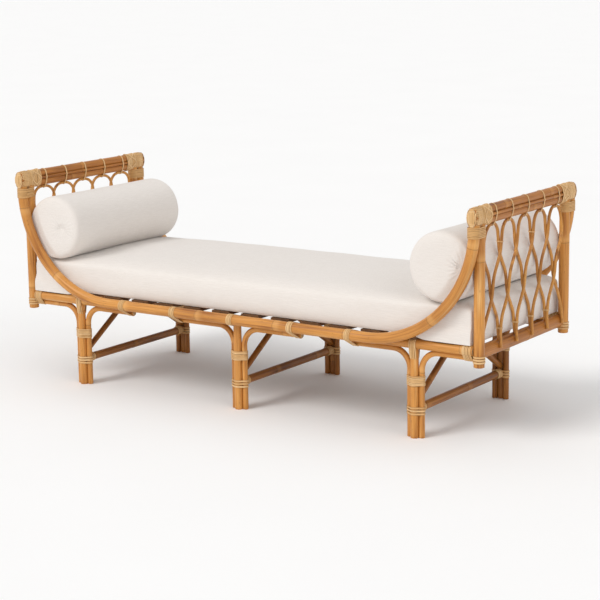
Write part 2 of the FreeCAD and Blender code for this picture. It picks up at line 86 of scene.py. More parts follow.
LEG_X = middle("front_right_leg_pole").x
LEG_R = radius("front_right_leg_pole", 0)
LEGS = (("left", -LEG_X), ("middle", 0.0), ("right", LEG_X))
BEND_LOW, BEND_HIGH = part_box("front_middle_leg_bends")
BEND_R = (BEND_HIGH.y - BEND_LOW.y) / 2
BEND_Y = -(BEND_LOW.y + BEND_HIGH.y) / 2
BEND_Z = BEND_HIGH.z - BEND_R
BEND_X = math.sqrt((LEG_R + BEND_R) ** 2 - (RAIL_Y - BEND_Y) ** 2)
BEND_RADIUS = 0.060
CROSS_R = radius("middle_cross_rail", 0)
STRETCHER = middle("middle_stretcher")
STRETCHER_R = radius("middle_stretcher", 0)
BRACE_R = radius("middle_braces", 0)
BRACE_FOOT_Z = 0.105
BOW_RADIUS = POST_TOP - BOW_Z
BOW_FLAT_X = END_X - BOW_RADIUS
HAIRPINS = 5
LATTICE_R = 0.005
STRAND_T = 0.0019
FLOOR_SIZE = 240.0


# ------------------ material helpers
class Nodes:
    """A short way to write a node tree."""

    def __init__(self, name):
        self.material = bpy.data.materials.new(name)
        self.material.use_nodes = True
        self.tree = self.material.node_tree
        self.shader = self.tree.nodes["Principled BSDF"]

    def add(self, kind, inputs=(), **settings):
        node = self.tree.nodes.new(kind)
        for key, value in settings.items():
            setattr(node, key, value)
        for socket, value in dict(inputs).items():
            if isinstance(value, bpy.types.NodeSocket):
                self.tree.links.new(value, node.inputs[socket])
            else:
                node.inputs[socket].default_value = value
        return node

    def local(self):
        """Each piece's own coordinates: across, across, then along it."""
        return self.add("ShaderNodeAttribute", attribute_name="local").outputs["Vector"]

    def factor(self, name):
        return self.add("ShaderNodeAttribute", attribute_name=name).outputs["Fac"]

    def place(self):
        return self.add("ShaderNodeTexCoord").outputs["Object"]

    def noise(self, vector, scale, detail=3.0, rough=0.5):
        made = self.add("ShaderNodeTexNoise",
                        {"Vector": vector, "Scale": scale, "Detail": detail, "Roughness": rough})
        return made.outputs["Fac"]

    def streaks(self, vector, scale, detail=3.0, rough=0.5):
        """Noise with a scale of its own along each axis."""
        stretched = self.add("ShaderNodeMapping", {"Vector": vector, "Scale": scale})
        return self.noise(stretched.outputs["Vector"], 1.0, detail, rough)

    def ramp(self, factor, stops):
        made = self.add("ShaderNodeValToRGB", {"Fac": factor})
        ramp = made.color_ramp
        while len(ramp.elements) < len(stops):
            ramp.elements.new(0.5)
        for element, (place, colour) in zip(ramp.elements, stops):
            element.position = place
            element.color = (*colour, 1.0)
        return made.outputs["Color"]

    def span(self, factor, low, high, to_low=0.0, to_high=1.0):
        made = self.add("ShaderNodeMapRange", {"Value": factor, "From Min": low, "From Max": high,
                                               "To Min": to_low, "To Max": to_high})
        return made.outputs["Result"]

    def mix(self, factor, first, second):
        colours = {socket: (*value, 1.0) if isinstance(value, tuple) else value
                   for socket, value in ((6, first), (7, second))}
        return self.add("ShaderNodeMix", {0: factor, **colours}, data_type="RGBA").outputs[2]

    def math(self, operation, first, second=0.0):
        return self.add("ShaderNodeMath", {0: first, 1: second}, operation=operation).outputs[0]

    def bump(self, height, strength, distance, normal=None):
        inputs = {"Height": height, "Strength": strength, "Distance": distance}
        if normal is not None:
            inputs["Normal"] = normal
        return self.add("ShaderNodeBump", inputs).outputs["Normal"]

    def finish(self, colour, roughness, normal, **fixed):
        for socket, value in (("Base Color", colour), ("Roughness", roughness), ("Normal", normal)):
            self.tree.links.new(value, self.shader.inputs[socket])
        for socket, value in fixed.items():
            self.shader.inputs[socket.replace("_", " ")].default_value = value
        return self.material


def cane_material(name, dark, honey, light, coordinates="local"):
    """Lacquered rattan skin: fine lengthwise fibres, long colour drifts, ring scars at the nodes."""
    n = Nodes(name)
    along = n.local() if coordinates == "local" else n.place()
    fibre = n.streaks(along, (420.0, 420.0, 9.0), 4.0, 0.6)
    streak = n.streaks(along, (95.0, 95.0, 3.0), 3.0, 0.55)
    drift = n.streaks(along, (16.0, 16.0, 4.5), 2.0)
    speck = n.streaks(along, (260.0, 260.0, 60.0), 2.0, 0.5)
    colour = n.ramp(n.math("ADD", n.math("MULTIPLY", streak, 0.6), n.math("MULTIPLY", drift, 0.4)),
                    [(0.34, dark), (0.47, honey), (0.57, honey), (0.69, light)])
    patch = n.streaks(along, (5.0, 5.0, 2.2), 2.0, 0.5)
    colour = n.mix(n.span(patch, 0.46, 0.68, 0.0, 0.5), colour, dark)
    colour = n.mix(n.span(fibre, 0.42, 0.62, 0.0, 0.42), colour, dark)
    colour = n.mix(n.span(speck, 0.66, 0.76, 0.0, 0.5), colour, tuple(c * 0.55 for c in dark))
    if coordinates == "local":
        scar = n.factor("scar")
        colour = n.mix(n.span(scar, 0.15, 1.0, 0.0, 0.7), colour, tuple(c * 0.42 for c in dark))
        halo = n.factor("halo")
        colour = n.mix(n.math("MULTIPLY", halo, 0.35), colour, light)
    rough = n.span(streak, 0.3, 0.7, 0.34, 0.5)
    normal = n.bump(fibre, 0.25, 0.0004)
    normal = n.bump(drift, 0.4, 0.0012, normal)
    return n.finish(colour, rough, normal, Coat_Weight=0.10, Coat_Roughness=0.30, IOR=1.5,
                    Specular_IOR_Level=0.32)


def cut_material():
    """The sawn end of a pole: pale pith dotted with pores."""
    n = Nodes("rattan_cut_end")
    place = n.place()
    pores = n.add("ShaderNodeTexVoronoi", {"Vector": place, "Scale": 900.0}).outputs["Distance"]
    tint = n.noise(place, 90.0)
    colour = n.ramp(pores, [(0.08, (0.16, 0.08, 0.03)), (0.32, (0.52, 0.34, 0.17)),
                            (1.0, (0.62, 0.43, 0.23))])
    colour = n.mix(n.span(tint, 0.4, 0.7, 0.0, 0.4), colour, (0.33, 0.19, 0.08))
    return n.finish(colour, n.span(pores, 0.0, 0.5, 0.9, 0.75), n.bump(pores, 0.5, 0.0004))


def peel_material():
    """Flat split peel: paler than the poles, each strand a slightly different tone, darkened at its edges and
    underside as painted shade.
    """
    n = Nodes("rattan_peel")
    along = n.local()
    tone = n.factor("tone")
    fibre = n.streaks(along, (1500.0, 1500.0, 26.0), 3.0, 0.6)
    stain = n.streaks(along, (40.0, 40.0, 22.0), 3.0)
    pale, tan, brown = (0.86, 0.58, 0.29), (0.70, 0.405, 0.155), (0.36, 0.155, 0.040)
    colour = n.ramp(tone, [(0.0, tan), (0.55, tuple((a + b) / 2 for a, b in zip(pale, tan))), (1.0, pale)])
    colour = n.mix(n.span(fibre, 0.45, 0.7, 0.0, 0.4), colour, brown)
    colour = n.mix(n.span(stain, 0.52, 0.74, 0.0, 0.42), colour, brown)
    # Painted shade: each strand darkens towards its edges and underside, where it meets its neighbours
    edge = n.factor("edge")
    colour = n.mix(n.math("MULTIPLY", edge, 0.55), colour, tuple(c * 0.5 for c in brown))
    rough = n.span(stain, 0.3, 0.7, 0.42, 0.6)
    normal = n.bump(fibre, 0.35, 0.0003)
    return n.finish(colour, rough, normal, Coat_Weight=0.06, Coat_Roughness=0.35,
                    Specular_IOR_Level=0.35)


def slat_material():
    """Sawn wood slats, grain along Y; their very dark colour is painted shade for their place under the
    mattress.
    """
    n = Nodes("slat_wood_grain_painted_shade")
    place = n.place()
    grain = n.streaks(place, (90.0, 5.0, 90.0), 5.0, 0.62)
    board = n.streaks(place, (9.0, 0.4, 9.0), 1.0)
    # The dark ramp is painted shade: the slats sit in shade under the mattress
    colour = n.ramp(grain, [(0.30, (0.070, 0.030, 0.012)), (0.55, (0.150, 0.072, 0.028)),
                            (0.75, (0.23, 0.12, 0.05))])
    colour = n.mix(n.span(board, 0.35, 0.65, 0.0, 0.4), colour, (0.21, 0.10, 0.04))
    return n.finish(colour, n.span(grain, 0.3, 0.7, 0.62, 0.8), n.bump(grain, 0.4, 0.0008))


def nail_material():
    n = Nodes("nail_steel_brushed")
    place = n.place()
    wear = n.noise(place, 700.0, 3.0)
    colour = n.ramp(wear, [(0.3, (0.30, 0.28, 0.26)), (0.7, (0.62, 0.61, 0.60))])
    return n.finish(colour, n.span(wear, 0.3, 0.7, 0.3, 0.5), n.bump(wear, 0.2, 0.0002), Metallic=1.0)


def cotton_material():
    """Off-white plain weave with slubs, laid on from three sides by the surface's direction."""
    n = Nodes("cotton_plain_weave")
    place = n.place()
    facing = n.add("ShaderNodeSeparateXYZ", {0: n.add("ShaderNodeNewGeometry").outputs["Normal"]})
    split = n.add("ShaderNodeSeparateXYZ", {0: place})
    thread = 2 * math.pi / 0.0011

    def weave(first, second):
        warp = n.math("SINE", n.math("MULTIPLY", split.outputs[first], thread))
        weft = n.math("SINE", n.math("MULTIPLY", split.outputs[second], thread))
        return n.math("MULTIPLY", warp, weft)

    def share(axis):
        return n.math("POWER", n.math("ABSOLUTE", facing.outputs[axis]), 4.0)

    total = n.math("MULTIPLY", weave("X", "Y"), share("Z"))
    total = n.math("ADD", total, n.math("MULTIPLY", weave("X", "Z"), share("Y")))
    total = n.math("ADD", total, n.math("MULTIPLY", weave("Y", "Z"), share("X")))
    slub_x = n.streaks(place, (30.0, 900.0, 900.0), 2.0, 0.6)
    slub_y = n.streaks(place, (900.0, 30.0, 900.0), 2.0, 0.6)
    cloud = n.noise(place, 7.0, 3.0)
    slub = n.math("MULTIPLY", n.math("ADD", slub_x, slub_y), 0.5)
    colour = n.ramp(slub, [(0.36, (0.73, 0.675, 0.625)), (0.52, (0.81, 0.758, 0.71)),
                           (0.66, (0.85, 0.80, 0.757))])
    colour = n.mix(n.span(cloud, 0.35, 0.7, 0.0, 0.28), colour, (0.76, 0.705, 0.66))
    colour = n.mix(n.span(total, -1.0, 1.0, 0.0, 0.16), colour, (0.60, 0.545, 0.50))
    height = n.math("ADD", n.math("MULTIPLY", total, 0.5), n.math("MULTIPLY", slub, 1.6))
    normal = n.bump(height, 0.32, 0.0004)
    normal = n.bump(n.noise(place, 22.0, 3.0, 0.55), 0.22, 0.004, normal)
    rough = n.span(slub, 0.3, 0.7, 0.93, 0.82)
    return n.finish(colour, rough, normal, Sheen_Weight=0.35, Sheen_Roughness=0.55, IOR=1.38,
                    Specular_IOR_Level=0.25)


CANE = cane_material("rattan_pole_skin", (0.31, 0.100, 0.016), (0.70, 0.315, 0.070), (0.88, 0.52, 0.19))
TOP_CANE = cane_material("rattan_pole_brown", (0.20, 0.060, 0.010), (0.50, 0.190, 0.034), (0.74, 0.36, 0.090))
# Painted shade: a darker copy of the pole skin for the rear legs and the poles under the seat, which lie in
# shade
SHADE_PAINTED_CANE = cane_material("rattan_pole_painted_shade", (0.14, 0.042, 0.008), (0.40, 0.150, 0.026),
                           (0.60, 0.275, 0.064))
ROD_CANE = cane_material("rattan_rod_skin", (0.28, 0.095, 0.016), (0.66, 0.310, 0.070),
                         (0.88, 0.54, 0.20), "object")
CUT = cut_material()
PEEL = peel_material()
COTTON = cotton_material()


# ------------------ mesh helpers
def ring_faces(rings, around, first=0):
    """Quads between rings of points that start at index first."""
    faces = []
    for base in range(first, first + (rings - 1) * around, around):
        for j in range(around):
            a, b = base + j, base + (j + 1) % around
            faces.append((a, b, b + around, a + around))
    return faces


def placed(name, data):
    made = bpy.data.objects.new(name, data)
    bpy.context.scene.collection.objects.link(made)
    return made


def mesh_object(name, vertices, faces, materials, indices=None, **attributes):
    mesh = bpy.data.meshes.new(name)
    mesh.from_pydata(vertices, [], faces)
    for material in materials:
        mesh.materials.append(material)
    if indices:
        mesh.polygons.foreach_set("material_index", indices)
    for key, values in attributes.items():
        if key == "local":
            made = mesh.attributes.new(key, "FLOAT_VECTOR", "POINT")
            made.data.foreach_set("vector", [c for v in values for c in v])
        else:
            mesh.attributes.new(key, "FLOAT", "POINT").data.foreach_set("value", values)
    mesh.polygons.foreach_set("use_smooth", [True] * len(mesh.polygons))
    mesh.update()
    return placed(name, mesh)


def line(start, end, step=0.012):
    start, end = Vector(start), Vector(end)
    count = max(2, round((end - start).length / step))
    return [start.lerp(end, k / count) for k in range(count + 1)]


def arc(centre, size, sweep, first, second, step=0.010):
    """Points round centre, turning from first towards second (two unit vectors)."""
    count = max(4, round(abs(sweep) * size / step))
    centre, first, second = Vector(centre), Vector(first), Vector(second)
    return [centre + size * (math.cos(sweep * k / count) * first + math.sin(sweep * k / count) * second)
            for k in range(count + 1)]


def joined(*runs):
    path = list(runs[0])
    for run in runs[1:]:
        path += run[1:]
    return path


def ahead_at(path, k):
    return path[min(k + 1, len(path) - 1)] - path[max(k - 1, 0)]


def frames_along(path):
    """A tangent and two steady side directions at each point of a path."""
    tangents = [ahead_at(path, k).normalized() for k in range(len(path))]
    side = tangents[0].orthogonal().normalized()
    found = []
    for tangent in tangents:
        side = (side - tangent * side.dot(tangent)).normalized()
        found.append((tangent, side, tangent.cross(side)))
    return found


def refined(path, marks, reach):
    """The path with extra points close to each mark, and the distance of every point."""
    lengths = [0.0]
    for a, b in zip(path, path[1:]):
        lengths.append(lengths[-1] + (b - a).length)
    total = lengths[-1]
    wanted = set(round(v, 6) for v in lengths)
    for mark in marks:
        for share in (-1.0, -0.6, -0.35, -0.15, 0.0, 0.15, 0.35, 0.6, 1.0):
            place = mark + share * reach
            if 0.0 < place < total:
                wanted.add(round(place, 6))
    points, places = [], []
    index = 0
    for place in sorted(wanted):
        while index < len(lengths) - 2 and lengths[index + 1] < place:
            index += 1
        step = lengths[index + 1] - lengths[index]
        if places and place - places[-1] < 0.0003:
            continue
        points.append(path[index].lerp(path[index + 1], min(1.0, max(0.0, (place - lengths[index]) / step))))
        places.append(place)
    return points, places


RING = 22
SCAR_REACH = 0.006
CHAMFER = 0.0012
NODE_GAP = (0.20, 0.36)
SCAR_W, HALO_W, HALO_AWAY = 0.0011, 0.010, 0.012


def cane_parts(path, size, rng):
    """One rattan pole: slightly uneven, with a raised scar ring wherever a leaf grew."""
    length = sum((b - a).length for a, b in zip(path, path[1:]))
    marks = []
    place = rng.uniform(0.03, NODE_GAP[1])
    while place < length - 0.02:
        marks.append(place)
        place += rng.uniform(*NODE_GAP)
    points, places = refined(path, marks, SCAR_REACH)
    sides = frames_along(points)
    offset = rng.uniform(0.0, 50.0)
    tilt = [rng.uniform(-0.0012, 0.0012) for _ in marks]
    phase = rng.uniform(0.0, math.tau)
    vertices, locals_, scars, halos = [], [], [], []
    rows = [(0, -1)] + [(k, 0) for k in range(len(points))] + [(len(points) - 1, 1)]
    for k, chamfer in rows:
        point, place = points[k], places[k]
        _, u, v = sides[k]
        for j in range(RING):
            turn = math.tau * j / RING
            scar = halo = 0.0
            for mark, lean in zip(marks, tilt):
                away = place - mark - lean * math.sin(turn + phase)
                scar = max(scar, math.exp(-(away / SCAR_W) ** 2))
                halo = max(halo, math.exp(-((away - HALO_AWAY) / HALO_W) ** 2))
            swell = noise.noise(Vector((math.cos(turn), math.sin(turn), place * 9.0 + offset)))
            reach = size * (1.0 + 0.012 * swell) + 0.00055 * halo * 0.6 + 0.0005 * scar
            reach = min(reach, size + 0.0009)
            if chamfer:
                reach -= CHAMFER
            vertices.append(point + reach * (math.cos(turn) * u + math.sin(turn) * v))
            locals_.append((size * math.cos(turn), size * math.sin(turn), place + offset))
            scars.append(scar)
            halos.append(halo)
    last = len(rows) - 1
    inset = CHAMFER * 0.8
    for j in range(RING):
        for row, way in ((1, 1), (last - 1, -1)):
            at = row * RING + j
            vertices[at] = vertices[at] + sides[rows[row][0]][0] * inset * way
    faces = ring_faces(len(rows), RING)
    indices = [0] * len(faces) + [1, 1]
    faces.append(tuple(reversed(range(RING))))
    faces.append(tuple(last * RING + j for j in range(RING)))
    return vertices, faces, indices, locals_, scars, halos


def cane(name, node, runs, size, seed, material=CANE):
    """A piece of one or more poles standing for one node of the frame."""
    rng = random.Random(seed)
    whole = vertices, faces, indices, locals_, scars, halos = [], [], [], [], [], []
    for path in runs:
        made = list(cane_parts(path, size, rng))
        made[1] = [tuple(len(vertices) + i for i in face) for face in made[1]]
        for values, more in zip(whole, made):
            values.extend(more)
    piece = mesh_object(name, vertices, faces, [material, CUT], indices,
                        local=locals_, scar=scars, halo=halos)
    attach(piece, "frame")
    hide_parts(node)
    return piece


# ------------------ the poles
def between(node, axis):
    """End points of a straight pole along one axis, from its node's box."""
    low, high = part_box(node)
    start, end = middle(node), middle(node)
    start[axis], end[axis] = low[axis], high[axis]
    return start, end


def straight(node, ending, axis, size, seed, material=CANE, **kept):
    """A straight pole along its node's box; kept sets a coordinate of its line."""
    start, end = between(node, axis)
    for key, value in kept.items():
        setattr(start, key, value)
        setattr(end, key, value)
    cane(node + ending, node, [line(start, end)], size, seed, material)


def bow_path(side):
    y = side * BOW_Y
    rise, run = Vector((0, 0, 1)), Vector((1, 0, 0))
    tip = BOW_HIGH.z
    left = arc((-BOW_FLAT_X, y, POST_TOP), BOW_RADIUS, math.pi / 2, -run, -rise)
    right = arc((BOW_FLAT_X, y, POST_TOP), BOW_RADIUS, math.pi / 2, -rise, run)
    return joined(line((-END_X, y, tip), left[0], 0.003), left, line(left[-1], right[0]), right,
                  line(right[-1], (END_X, y, tip), 0.003))


def bend_path(side, leg_x, way, end_x):
    x, y = leg_x + way * BEND_X, side * BEND_Y
    centre = (x + way * BEND_RADIUS, y, BEND_Z - BEND_RADIUS)
    turn = arc(centre, BEND_RADIUS, math.pi / 2, (-way, 0, 0), (0, 0, 1), 0.006)
    return joined(line((x, y, 0.0), turn[0]), turn, line(turn[-1], (end_x, y, BEND_Z)))


def make_poles():
    seed = 100
    for name, side in SIDES:
        cane(name + "_bow_pole", name + "_bow", [bow_path(side)], BOW_R, seed)
        straight(name + "_seat_rail", "_pole", 0, RAIL_R, seed + 1)
        seed += 2
    for end_name, e in ENDS:
        straight(end_name + "_end_rail", "_pole", 1, END_RAIL_R, seed, TOP_CANE, x=e * END_RAIL.x)
        for level in ("upper", "lower"):
            straight("%s_top_rail_%s" % (end_name, level), "_pole", 1, TOP_R, seed + 1, TOP_CANE)
            seed += 1
        for name, _ in SIDES:
            straight("%s_%s_post" % (name, end_name), "_pole", 2, POST_R, seed + 2, x=e * END_X)
            seed += 1
        seed += 3
    for leg, leg_x in LEGS:
        for name, side in SIDES:
            # The rear legs and their bends take the darker copy of the skin: painted shade
            skin = CANE if side < 0 else SHADE_PAINTED_CANE
            straight("%s_%s_leg_pole" % (name, leg), "_cane", 2, LEG_R, seed, skin, y=side * RAIL_Y)
            bends = "%s_%s_leg_bends" % (name, leg)
            low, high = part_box(bends)
            runs = [bend_path(side, leg_x, -1, low.x), bend_path(side, leg_x, 1, high.x)]
            cane(bends + "_canes", bends, runs, BEND_R, seed + 1, skin)
            seed += 2
        # Cross rails, stretchers and braces under the seat take the darker copy of the skin: painted shade
        straight(leg + "_cross_rail", "_pole", 1, CROSS_R, seed, SHADE_PAINTED_CANE)
        straight(leg + "_stretcher", "_pole", 1, STRETCHER_R, seed + 1, SHADE_PAINTED_CANE)
        runs = []
        for _, side in SIDES:
            foot = Vector((leg_x, side * RAIL_Y, BRACE_FOOT_Z))
            top = Vector((leg_x, -side * 2 * BRACE_R, RAIL_Z))
            run = (top - foot).normalized()
            middle_share = side * RAIL_Y / (side * RAIL_Y + side * 2 * BRACE_R)
            runs.append(line(foot + run * LEG_R * 0.9, foot.lerp(top, middle_share)))
        cane(leg + "_braces_poles", leg + "_braces", runs, BRACE_R, seed + 2, SHADE_PAINTED_CANE)
        seed += 3
    reach = BEAD_HIGH.y
    bead_xs = [e * END_X + way * BEAD_OFFSET for _, e in ENDS for way in (-1, 1)]
    runs = [line((x, -reach, GROOVE_Z), (x, reach, GROOVE_Z)) for x in bead_xs]
    cane("top_rail_bead_strips", "top_rail_beads", runs, BEAD_R, seed, TOP_CANE)


# ------------------ peel bindings
def outline(discs, grow, count=72):
    """The tight loop round discs (u, v, radius), evenly spaced, with outward directions."""
    rough = []
    for k in range(360):
        turn = math.tau * k / 360
        out = (math.cos(turn), math.sin(turn))
        u, v, r = max(discs, key=lambda d: d[0] * out[0] + d[1] * out[1] + d[2])
        rough.append((u + (r + grow) * out[0], v + (r + grow) * out[1]))
    rough.append(rough[0])
    lengths = [0.0]
    for a, b in zip(rough, rough[1:]):
        lengths.append(lengths[-1] + math.dist(a, b))
    found = []
    index = 0
    for k in range(count):
        place = lengths[-1] * k / count
        while lengths[index + 1] < place:
            index += 1
        share = (place - lengths[index]) / (lengths[index + 1] - lengths[index])
        a, b = rough[index], rough[index + 1]
        found.append((a[0] + (b[0] - a[0]) * share, a[1] + (b[1] - a[1]) * share))
    return found, lengths[-1]


def out_of(loop, k):
    """The way out of a closed loop at its point k."""
    (ua, va), (ub, vb) = loop[(k + 1) % len(loop)], loop[k - 1]
    return Vector((va - vb, -(ua - ub))).normalized()


# Each point of a strip's cross-section: its side, its lift, and how much painted shade (edge) it takes
SECTION = ((-1.0, -0.45, 1.0), (-0.92, 0.35, 0.75), (-0.55, 0.85, 0.1), (0.0, 1.0, 0.0),
           (0.55, 0.85, 0.1), (0.92, 0.35, 0.75), (1.0, -0.45, 1.0), (0.0, -0.5, 0.5))


class Strands:
    """Collects ribbons of peel into one piece."""

    def __init__(self, seed):
        self.rng = random.Random(seed)
        self.vertices, self.faces = [], []
        self.locals, self.tones, self.edges = [], [], []

    def ribbon(self, path, outward, width, thick, closed=False, tone=None):
        """A crowned strip along path; outward gives the way its face looks at each point."""
        tone = self.rng.uniform(0.15, 0.95) if tone is None else tone
        offset = self.rng.uniform(0.0, 40.0)
        base = len(self.vertices)
        count = len(path)
        run = 0.0
        for k, (point, out) in enumerate(zip(path, outward)):
            ahead = path[(k + 1) % count] - path[k - 1] if closed else ahead_at(path, k)
            if k:
                run += (point - path[k - 1]).length
            across = ahead.cross(out).normalized()
            out = across.cross(ahead).normalized()
            for side, lift, edge in SECTION:
                self.vertices.append(point + across * side * width / 2 + out * lift * thick)
                self.locals.append((side * width / 2 + offset, lift * thick, run + offset))
                self.tones.append(tone)
                self.edges.append(edge)
        rows = count if closed else count - 1
        size = len(SECTION)
        for k in range(rows):
            for j in range(size):
                a, b = base + k * size + j, base + k * size + (j + 1) % size
                c, d = base + ((k + 1) % count) * size + (j + 1) % size, base + ((k + 1) % count) * size + j
                self.faces.append((a, d, c, b))
        if not closed:
            self.faces.append(tuple(base + j for j in range(size)))
            self.faces.append(tuple(base + (count - 1) * size + j for j in reversed(range(size))))

    def coil(self, discs, axis, low, high, turns, width=None, thick=STRAND_T, count=72, tone=None):
        """Peel wound round discs, drifting along the axis by one width each turn."""
        loop, _ = outline(discs, 0.0, count)
        place = {"X": lambda u, v, w: Vector((w, u, v)),
                 "Y": lambda u, v, w: Vector((u, w, v)),
                 "Z": lambda u, v, w: Vector((u, v, w))}[axis]
        pitch = (high - low) / turns
        width = width or pitch * 0.97
        for t in range(turns):
            centre = low + pitch * (t + 0.5)
            lean = self.rng.uniform(-0.10, 0.10) * pitch
            slip = self.rng.uniform(-0.05, 0.05) * pitch
            phase = self.rng.uniform(0.0, math.tau)
            path, outward = [], []
            for k in range(count):
                (u, v), out = loop[k], out_of(loop, k)
                w = centre + slip + lean * math.sin(math.tau * k / count + phase)
                path.append(place(u + out.x * thick * 0.5, v + out.y * thick * 0.5, w))
                outward.append(place(out.x, out.y, 0.0))
            self.ribbon(path, outward, width, thick * 0.5 + thick * self.rng.uniform(0.0, 0.12), True, tone)

    def finish(self, name, *nodes):
        # The edge attribute carries the painted shade at the strands' edges and underside
        piece = mesh_object(name, self.vertices, self.faces, [PEEL],
                            local=self.locals, tone=self.tones, edge=self.edges)
        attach(piece, "frame")
        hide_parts(*nodes)
        return piece


def band(place, width):
    return place - width / 2, place + width / 2


def leg_discs(leg_x, side):
    bends = [(leg_x + way * BEND_X, side * BEND_Y, BEND_R) for way in (-1, 1)]
    return [(leg_x, side * RAIL_Y, LEG_R)] + bends


def bow_height(x):
    past = max(0.0, abs(x) - BOW_FLAT_X)
    return BOW_Z + BOW_RADIUS - math.sqrt(BOW_RADIUS ** 2 - past ** 2)


LEG_HIGH = (0.168, 0.200)
LEG_LOW = (0.074, 0.102)
RAIL_BAND_W = 0.022
KNUCKLE_W = 0.030
SADDLE_Z, SADDLE_PITCH, SADDLE_W = 0.262, 0.0050, 0.0048
CORNER_BAND_W = 0.032
RING_FOOT, RING_PITCH, RING_W = 0.0035, 0.0085, 0.0060
BINDING_X = (0.240, LEG_X - 0.220)


def make_leg_bindings():
    wraps = Strands(11)
    knuckles = Strands(13)
    for _, leg_x in LEGS:
        for _, side in SIDES:
            discs = leg_discs(leg_x, side)
            wraps.coil(discs, "Z", *LEG_HIGH, 6)
            wraps.coil(discs, "Z", *LEG_LOW, 3, 0.0068)
            middle_y = side * (BEND_Y - BEND_R - 0.002 - KNUCKLE_W / 2)
            disc = [(leg_x, STRETCHER.z, STRETCHER_R)]
            knuckles.coil(disc, "Y", *band(middle_y, KNUCKLE_W), 6, thick=0.0024, count=40)
    wraps.finish("leg_peel_bindings", "leg_bindings")
    knuckles.finish("stretcher_peel_wraps", "stretcher_wraps")


def make_rail_bindings():
    wraps = Strands(21)
    for _, side in SIDES:
        rail = (side * RAIL_Y, RAIL_Z, RAIL_R)
        bend = (side * BEND_Y, BEND_Z, BEND_R)
        for x in (-BINDING_X[1], -BINDING_X[0], BINDING_X[0], BINDING_X[1]):
            bow = (side * BOW_Y, bow_height(x), BOW_R)
            wraps.coil([bow, rail, bend], "X", *band(x, RAIL_BAND_W), 4)
        wraps.coil([(side * BOW_Y, BOW_Z, BOW_R), rail], "X", *band(0.0, RAIL_BAND_W), 4)
        for leg_x in (-LEG_X, LEG_X):
            for k in range(-2, 3):
                across = k * SADDLE_PITCH
                depth = math.sqrt(LEG_R ** 2 - across ** 2)
                discs = [rail, (side * RAIL_Y, SADDLE_Z, depth)]
                wraps.coil(discs, "X", *band(leg_x + across, SADDLE_W), 1, thick=0.0016)
    wraps.finish("rail_peel_bindings", "rail_bindings")


def make_lower_corners():
    wraps = Strands(31)
    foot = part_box("lower_corner_wraps")[0].z
    for _, e in ENDS:
        band_x = e * (END_X - POST_R - 0.0025 - CORNER_BAND_W / 2)
        for _, side in SIDES:
            rail = (side * RAIL_Y, RAIL_Z, RAIL_R)
            bend = (side * BEND_Y, BEND_Z, BEND_R)
            wraps.coil([rail, bend], "X", *band(band_x, CORNER_BAND_W), 6)
            post = [(e * END_X, side * abs(POST.y), POST_R)]
            for k in range(3):
                z = foot + RING_FOOT + k * RING_PITCH
                wraps.coil(post, "Z", *band(z, RING_W), 1, 0.0062, thick=0.0022)
    wraps.finish("lower_corner_peel_wraps", "lower_corner_wraps")


CAP_LENGTH = 0.104
CAP_COIL_L = 0.052
CAP_END_INSET = 0.0028
CAP_KNOB_INSET = 0.013
CAP_STRIP_L = 0.040
CAP_STRIP_T = 0.0014
FACE_STRIPS, FACE_STRIP_W, FACE_REACH = 10, 0.0066, 0.0105
OVER_STRIPS, OVER_STRIP_W, OVER_PITCH = 6, 0.0057, 0.0052
CROSS_STRIP_W = 0.0052
NECK_H = 0.042


def top_stack(e):
    stack = [(e * END_X, UPPER.z, TOP_R), (e * END_X, LOWER.z, TOP_R)]
    return stack + [(e * END_X + way * BEAD_OFFSET, GROOVE_Z, BEAD_R) for way in (-1, 1)]


def over_the_end(wraps, corner, straight, lift, width):
    """A strip along a rail, round its end and back; corner holds its start, two turns and finish."""
    start, first, second, finish = corner
    turn = min(0.017, (second - first).length * 0.47)
    path = line(start, first + (start - first).normalized() * turn, 0.008)
    for a, b, c in ((start, first, second), (first, second, finish)):
        back, ahead = (a - b).normalized(), (c - b).normalized()
        hub = b + (back + ahead) * turn
        path += [hub - ahead * turn * math.cos(t) - back * turn * math.sin(t)
                 for t in (math.pi / 2 * k / 6 for k in range(1, 6))]
        if b is first:
            path += line(b + ahead * turn, c - ahead * turn, 0.008)
    path += line(second + (finish - second).normalized() * turn, finish, 0.008)
    outward = [straight.cross(ahead_at(path, k)).normalized() for k in range(len(path))]
    hub = (first + second) / 2 + (start - first) * 0.5
    outward = [out if out.dot(point - hub) > 0 else -out for out, point in zip(outward, path)]
    path = [point + out * lift for point, out in zip(path, outward)]
    wraps.ribbon(path, outward, width, CAP_STRIP_T)


def half_width(height):
    """Half the bound rails' width at a height."""
    best = 0.0
    for u, v, r in top_stack(0):
        if abs(height - v) < r:
            best = max(best, abs(u) + math.sqrt(r * r - (height - v) ** 2))
    if LOWER.z < height < UPPER.z:
        best = max(best, TOP_R + (BEAD_OFFSET + BEAD_R - TOP_R) * (1 - abs(height - GROOVE_Z) / TOP_R))
    return best


